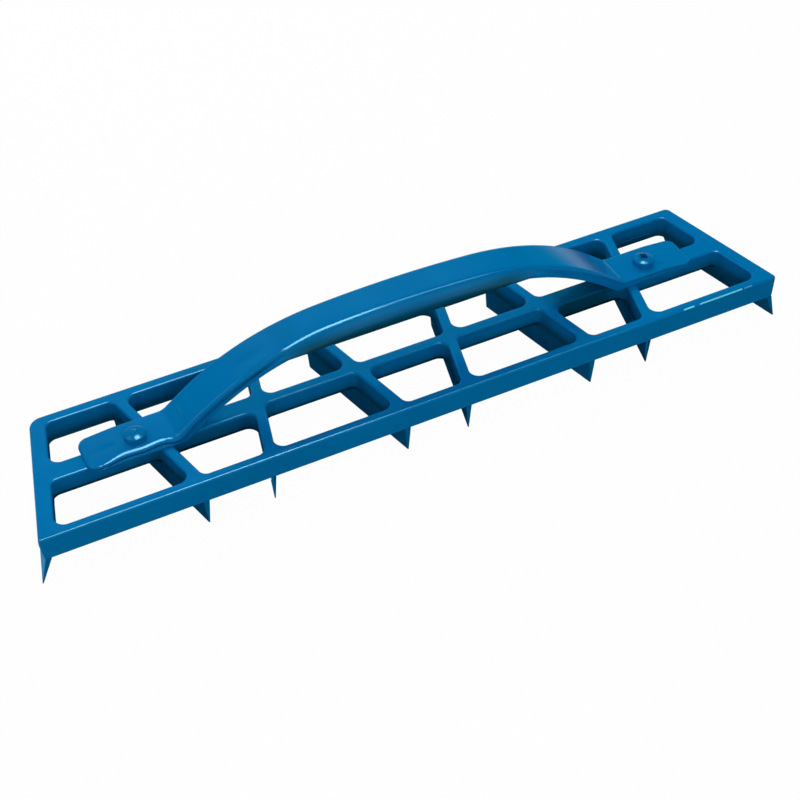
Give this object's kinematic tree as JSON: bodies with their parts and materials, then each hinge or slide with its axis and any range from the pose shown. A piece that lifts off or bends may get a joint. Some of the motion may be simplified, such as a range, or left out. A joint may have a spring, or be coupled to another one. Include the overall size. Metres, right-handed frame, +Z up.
{
  "type": "lattice plane for render and plaster",
  "caption": "Blue enamelled zigzag lattice frame with wedge blades under its slanted cross bars and an arched top grip, for planing render and plaster flat.",
  "frame": {"origin": "middle of the frame in the plane of the blades' cutting edges", "axes": "+X along the frame, -Y to the front edge, +Z up through the grip"},
  "size_m": [0.4572, 0.0854, 0.0763],
  "materials": {
    "frame_enamel": "glossy blue enamel over a light-alloy casting",
    "grip_enamel": "glossy blue enamel over a light-alloy casting",
    "blade_enamel": "blue enamel over steel, thin at the cutting edge",
    "fastener_enamel": "blue enamel over plated steel"
  },
  "bodies": {
    "root": {"lattice_frame": "frame_enamel", "handle": "grip_enamel", "blade_1": "blade_enamel", "blade_2": "blade_enamel", "blade_3": "blade_enamel", "blade_4": "blade_enamel", "blade_5": "blade_enamel", "blade_6": "blade_enamel", "blade_7": "blade_enamel", "blade_8": "blade_enamel", "handle_screw_left": "fastener_enamel", "handle_screw_right": "fastener_enamel"}
  },
  "joints": []
}
